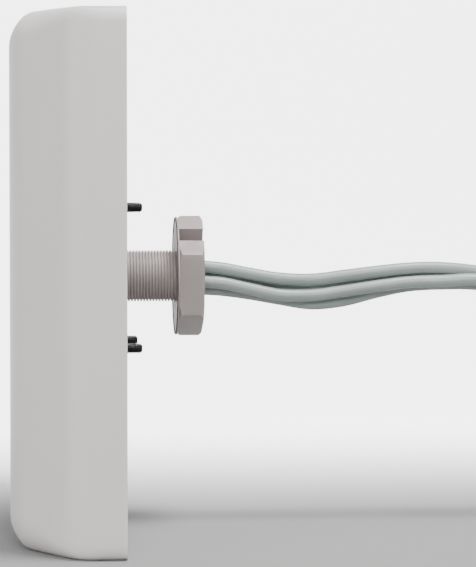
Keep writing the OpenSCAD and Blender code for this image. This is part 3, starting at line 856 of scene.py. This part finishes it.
def make_coupling(k):
    """Knurled coupling nut with a threaded bore."""
    def knurled(a, r, z):
        on_band = KNURL_START < z < KNURL_END and r > KNURL_MIN_R
        fade = ease((z - KNURL_START) / KNURL_FADE) * ease((KNURL_END - z) / KNURL_FADE)
        return r - KNURL_DEPTH * fade * (0.5 - 0.5 * math.cos(KNURLS * a)) if on_band else r
    threads = []
    z = BORE_START
    while z > BORE_END:
        threads += [(BORE_CREST, z), (BORE_ROOT, z - BORE_PITCH / 2)]
        z -= BORE_PITCH
    profile = in_metres([*COUPLING_OUTSIDE, *threads, *COUPLING_REAR])
    obj = turned(f"knurled_coupling_{k + 1}", profile, 240, knurled)
    to_minus_y(obj, plug_place(k) + Vector((0, -COUPLING_START, 0)))
    return piece(sharpen(obj, 40), f"coupling_{k + 1}", "nickel", f"coupling_nut_{k + 1}")


def make_plug(k):
    """Everything on the end of a lead."""
    made = [make_sleeve(k), make_plug_body(k), make_coupling(k)]
    return made + [frame["nodes"][f"{node}_{k + 1}"] for node in ("plug_insulator", "contact_pin")]


pieces_on_lead = [make_plug(k) for k in range(4)]


# ---------- coil straps ----------

TIE_ANGLES = (20, 140)
TIE_W, TIE_T = 12 * MM, 1.1 * MM
# Gaps from the strap to the leads at the coil's inside, outside and top.
TIE_GAP_IN, TIE_GAP_OUT, TIE_GAP_TOP = 0.8 * MM, 0.1 * MM, 0.05 * MM
TIE_ROUND_OUT, TIE_ROUND_IN, TIE_BEVEL = 3.2 * MM, 2.2 * MM, 0.25 * MM


def rounded_loop(u0, u1, v0, v1, r, steps=6):
    """Points round a rectangle with rounded corners, anticlockwise."""
    points = []
    centres = ((u1 - r, v1 - r), (u0 + r, v1 - r), (u0 + r, v0 + r), (u1 - r, v0 + r))
    for corner, (u, v) in enumerate(centres):
        for i in range(steps + 1):
            a = math.radians(90 * corner + 90 * i / steps)
            points.append((u + r * math.cos(a), v + r * math.sin(a)))
    return points


def make_tie(angle):
    """Strap round the coil's section, a closed loop with rounded corners."""
    inner = COIL_INNER * MM - LEAD_D / 2 - TIE_GAP_IN - TIE_T
    outer = (COIL_INNER + COIL_PITCH) * MM + LEAD_D / 2 + TIE_GAP_OUT + TIE_T
    top = COIL_LOW * MM + (COIL_LAYERS - 1) * COIL_PITCH * MM + LEAD_D / 2 + TIE_GAP_TOP + TIE_T
    out = rounded_loop(inner, outer, 0.0, top, TIE_ROUND_OUT)
    hole = rounded_loop(inner + TIE_T, outer - TIE_T, TIE_T, top - TIE_T, TIE_ROUND_IN)
    n = len(out)
    verts = [(u, w, v) for w in (-TIE_W / 2, TIE_W / 2) for loop in (out, hole) for u, v in loop]
    faces = []
    for i in range(n):
        j = (i + 1) % n
        faces += [(i, j, n + j, n + i), (2 * n + j, 2 * n + i, 3 * n + i, 3 * n + j),
                  (j, i, 2 * n + i, 2 * n + j), (n + i, n + j, 3 * n + j, 3 * n + i)]
    obj = tidy_mesh(add_mesh("strap", verts, faces))
    soften = obj.modifiers.new("soften", "BEVEL")
    soften.width = TIE_BEVEL
    soften.segments = 2
    soften.angle_limit = math.radians(SHARP_EDGE)
    apply_modifier(obj, soften)
    centre = placed((COIL_ALONG, COIL_Y, 0))
    obj.data.transform(Matrix.Translation(centre) @ Matrix.Rotation(math.radians(angle), 4, "Z"))
    return obj


straps = sharpen(join("coil_straps", [make_tie(a) for a in TIE_ANGLES]), SHARP_EDGE)
piece(straps, "panel", "tie_fabric", "coil_ties")


# ---------- leads: material, body and the CAD nodes they stand for ---

for lead_index, lead in enumerate(leads):
    number = lead_index + 1
    stands_for = [f"lead_{number}", f"lead_tail_{number}"] + (["lead_coil"] if number == 1 else [])
    piece(lead, "panel", "lead_jacket", *stands_for)


# ---------- stage and light ----------

# The paper is pale grey round the antenna, and turns to a lit white between these distances behind it.
GREY_TO, WHITE_FROM = -0.02, 0.5
# Round patch of the paper behind the antenna that is lit up to white.
GLOW_CENTRE, GLOW_FULL, GLOW_EDGE = (0.06, 2.0, 0.2), 1.5, 2.4
GLOW_STRENGTH = 3.6
PAPER_GREY, PAPER_WHITE = 0.28, 0.93
# The paper's half width, its front and back edges, the height it reaches and the radius of its bend.
PAPER_HALF_W, PAPER_FRONT, PAPER_BACK, PAPER_TOP, PAPER_BEND = 6.0, -4.0, 1.6, 4.0, 1.2
BEND_STEPS = 16
WORLD_STRENGTH = 0.45
# Each light's place, aim, size and power.
LIGHTS = {
    "key": ((0.3, -0.25, 1.2), (0.08, 0, 0.12), 0.4, 22),
    "front": ((-0.1, -2.0, 1.1), (0.0, 0, 0.12), 0.8, 32),
    "side": ((-1.1, -0.9, 0.25), (-0.03, -0.1, 0.08), 0.5, 9),
}


def smooth_share(nodes, links, value, start, end):
    """A smooth step from 0 at start to 1 at end."""
    node = nodes.new("ShaderNodeMapRange")
    node.interpolation_type = "SMOOTHSTEP"
    node.inputs["From Min"].default_value, node.inputs["From Max"].default_value = start, end
    links.new(value, node.inputs["Value"])
    return node.outputs["Result"]


def make_stage():
    """Pale floor that curves up far behind the antenna."""
    outline = [(PAPER_FRONT, 0.0), (PAPER_BACK, 0.0)]
    for i in range(1, BEND_STEPS + 1):
        a = math.pi / 2 * i / BEND_STEPS
        outline.append((PAPER_BACK + PAPER_BEND * math.sin(a), PAPER_BEND - PAPER_BEND * math.cos(a)))
    outline.append((PAPER_BACK + PAPER_BEND, PAPER_TOP))
    verts = [(x, y, z) for y, z in outline for x in (-PAPER_HALF_W, PAPER_HALF_W)]
    faces = [(2 * i, 2 * i + 1, 2 * i + 3, 2 * i + 2) for i in range(len(outline) - 1)]
    floor = add_mesh("floor", verts, faces)
    mat, nodes, links, bsdf = new_material("floor_paper")
    coords = nodes.new("ShaderNodeTexCoord")
    place = nodes.new("ShaderNodeSeparateXYZ")
    links.new(coords.outputs["Object"], place.inputs["Vector"])
    share = smooth_share(nodes, links, place.outputs["Y"], GREY_TO, WHITE_FROM)
    tone = ramp(nodes, links, share, [(0.0, grey(PAPER_GREY)), (1.0, grey(PAPER_WHITE))])
    away = nodes.new("ShaderNodeVectorMath")
    away.operation = "DISTANCE"
    away.inputs[1].default_value = GLOW_CENTRE
    links.new(coords.outputs["Object"], away.inputs[0])
    spread = smooth_share(nodes, links, away.outputs["Value"], GLOW_EDGE, GLOW_FULL)
    both = nodes.new("ShaderNodeMath")
    both.operation = "MULTIPLY"
    links.new(share, both.inputs[0])
    links.new(spread, both.inputs[1])
    glow = ramp(nodes, links, both.outputs[0], [(0.0, grey(0.0)), (1.0, grey(1.0))])
    links.new(tone.outputs["Color"], bsdf.inputs["Base Color"])
    links.new(glow.outputs["Color"], bsdf.inputs["Emission Color"])
    bsdf.inputs["Emission Strength"].default_value = GLOW_STRENGTH
    bsdf.inputs["Roughness"].default_value = 0.9
    bsdf.inputs["Specular IOR Level"].default_value = 0.1
    floor.data.materials.append(mat)


def make_lights():
    world = bpy.data.worlds.new("studio")
    world.use_nodes = True
    background = world.node_tree.nodes["Background"]
    background.inputs["Color"].default_value = (1, 1, 1, 1)
    background.inputs["Strength"].default_value = WORLD_STRENGTH
    bpy.context.scene.world = world
    for name, (place, aim, size, power) in LIGHTS.items():
        data = bpy.data.lights.new(name, "AREA")
        data.shape = "DISK"
        data.size = size
        data.energy = power
        point_at(new_object(name, data), place, aim)


make_stage()
make_lights()
